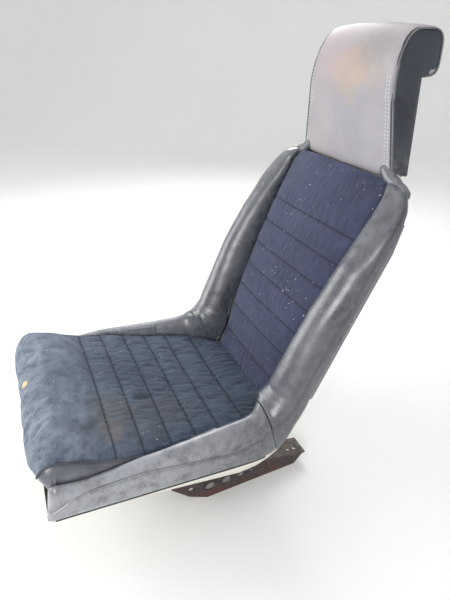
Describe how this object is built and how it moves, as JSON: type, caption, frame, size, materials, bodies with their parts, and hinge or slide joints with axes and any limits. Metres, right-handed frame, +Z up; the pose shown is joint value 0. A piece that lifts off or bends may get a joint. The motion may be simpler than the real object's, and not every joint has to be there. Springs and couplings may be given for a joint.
{
  "type": "racing seat",
  "caption": "Fixed-back bucket seat with pleated centre panels, raised side bolsters, a built-in curled headrest and two side brackets.",
  "frame": {"origin": "on the floor, under the middle of the seat's length and width", "axes": "+Z up, the seat faces -Y, +X is the sitter's left side"},
  "size_m": [0.476, 0.8277, 0.902],
  "materials": {
    "shell_moulding": "off-white gel coat",
    "edge_rubber": "satin black rubber",
    "foam": "soft open foam",
    "centre_fabric": "worn navy cord fabric",
    "headrest_vinyl": "faded grey vinyl",
    "headrest_side_vinyl": "dark navy vinyl",
    "welt": "dark piping",
    "bracket_steel": "rusty painted steel",
    "plated_steel": "dull zinc plate",
    "bolster_vinyl": "worn black vinyl"
  },
  "bodies": {
    "root": {"shell": "shell_moulding", "edge_trim_left": "edge_rubber", "edge_trim_right": "edge_rubber", "edge_trim_front": "edge_rubber", "seat_foam": "foam", "back_foam": "foam", "seat_cover": "centre_fabric", "back_cover": "centre_fabric", "seat_bolster_left": "bolster_vinyl", "seat_bolster_right": "bolster_vinyl", "back_bolster_left": "bolster_vinyl", "back_bolster_right": "bolster_vinyl", "side_skirt_left": "bolster_vinyl", "side_skirt_right": "bolster_vinyl", "front_skirt": "bolster_vinyl", "side_panel_left": "bolster_vinyl", "side_panel_right": "bolster_vinyl", "nose_gusset_left": "bolster_vinyl", "nose_gusset_right": "bolster_vinyl", "seat_welt_left": "welt", "seat_welt_right": "welt", "headrest_foam": "foam", "headrest_front_cover": "headrest_vinyl", "headrest_rear_cover": "bolster_vinyl", "headrest_side_left": "headrest_side_vinyl", "headrest_side_right": "headrest_side_vinyl", "back_panel": "bolster_vinyl", "listing_wires": "plated_steel", "hog_rings": "plated_steel", "bracket_left": "bracket_steel", "bracket_right": "bracket_steel", "load_plate_left": "plated_steel", "load_plate_right": "plated_steel", "bracket_bolts": "plated_steel", "bracket_washers": "plated_steel", "bracket_nuts": "plated_steel"}
  },
  "joints": []
}
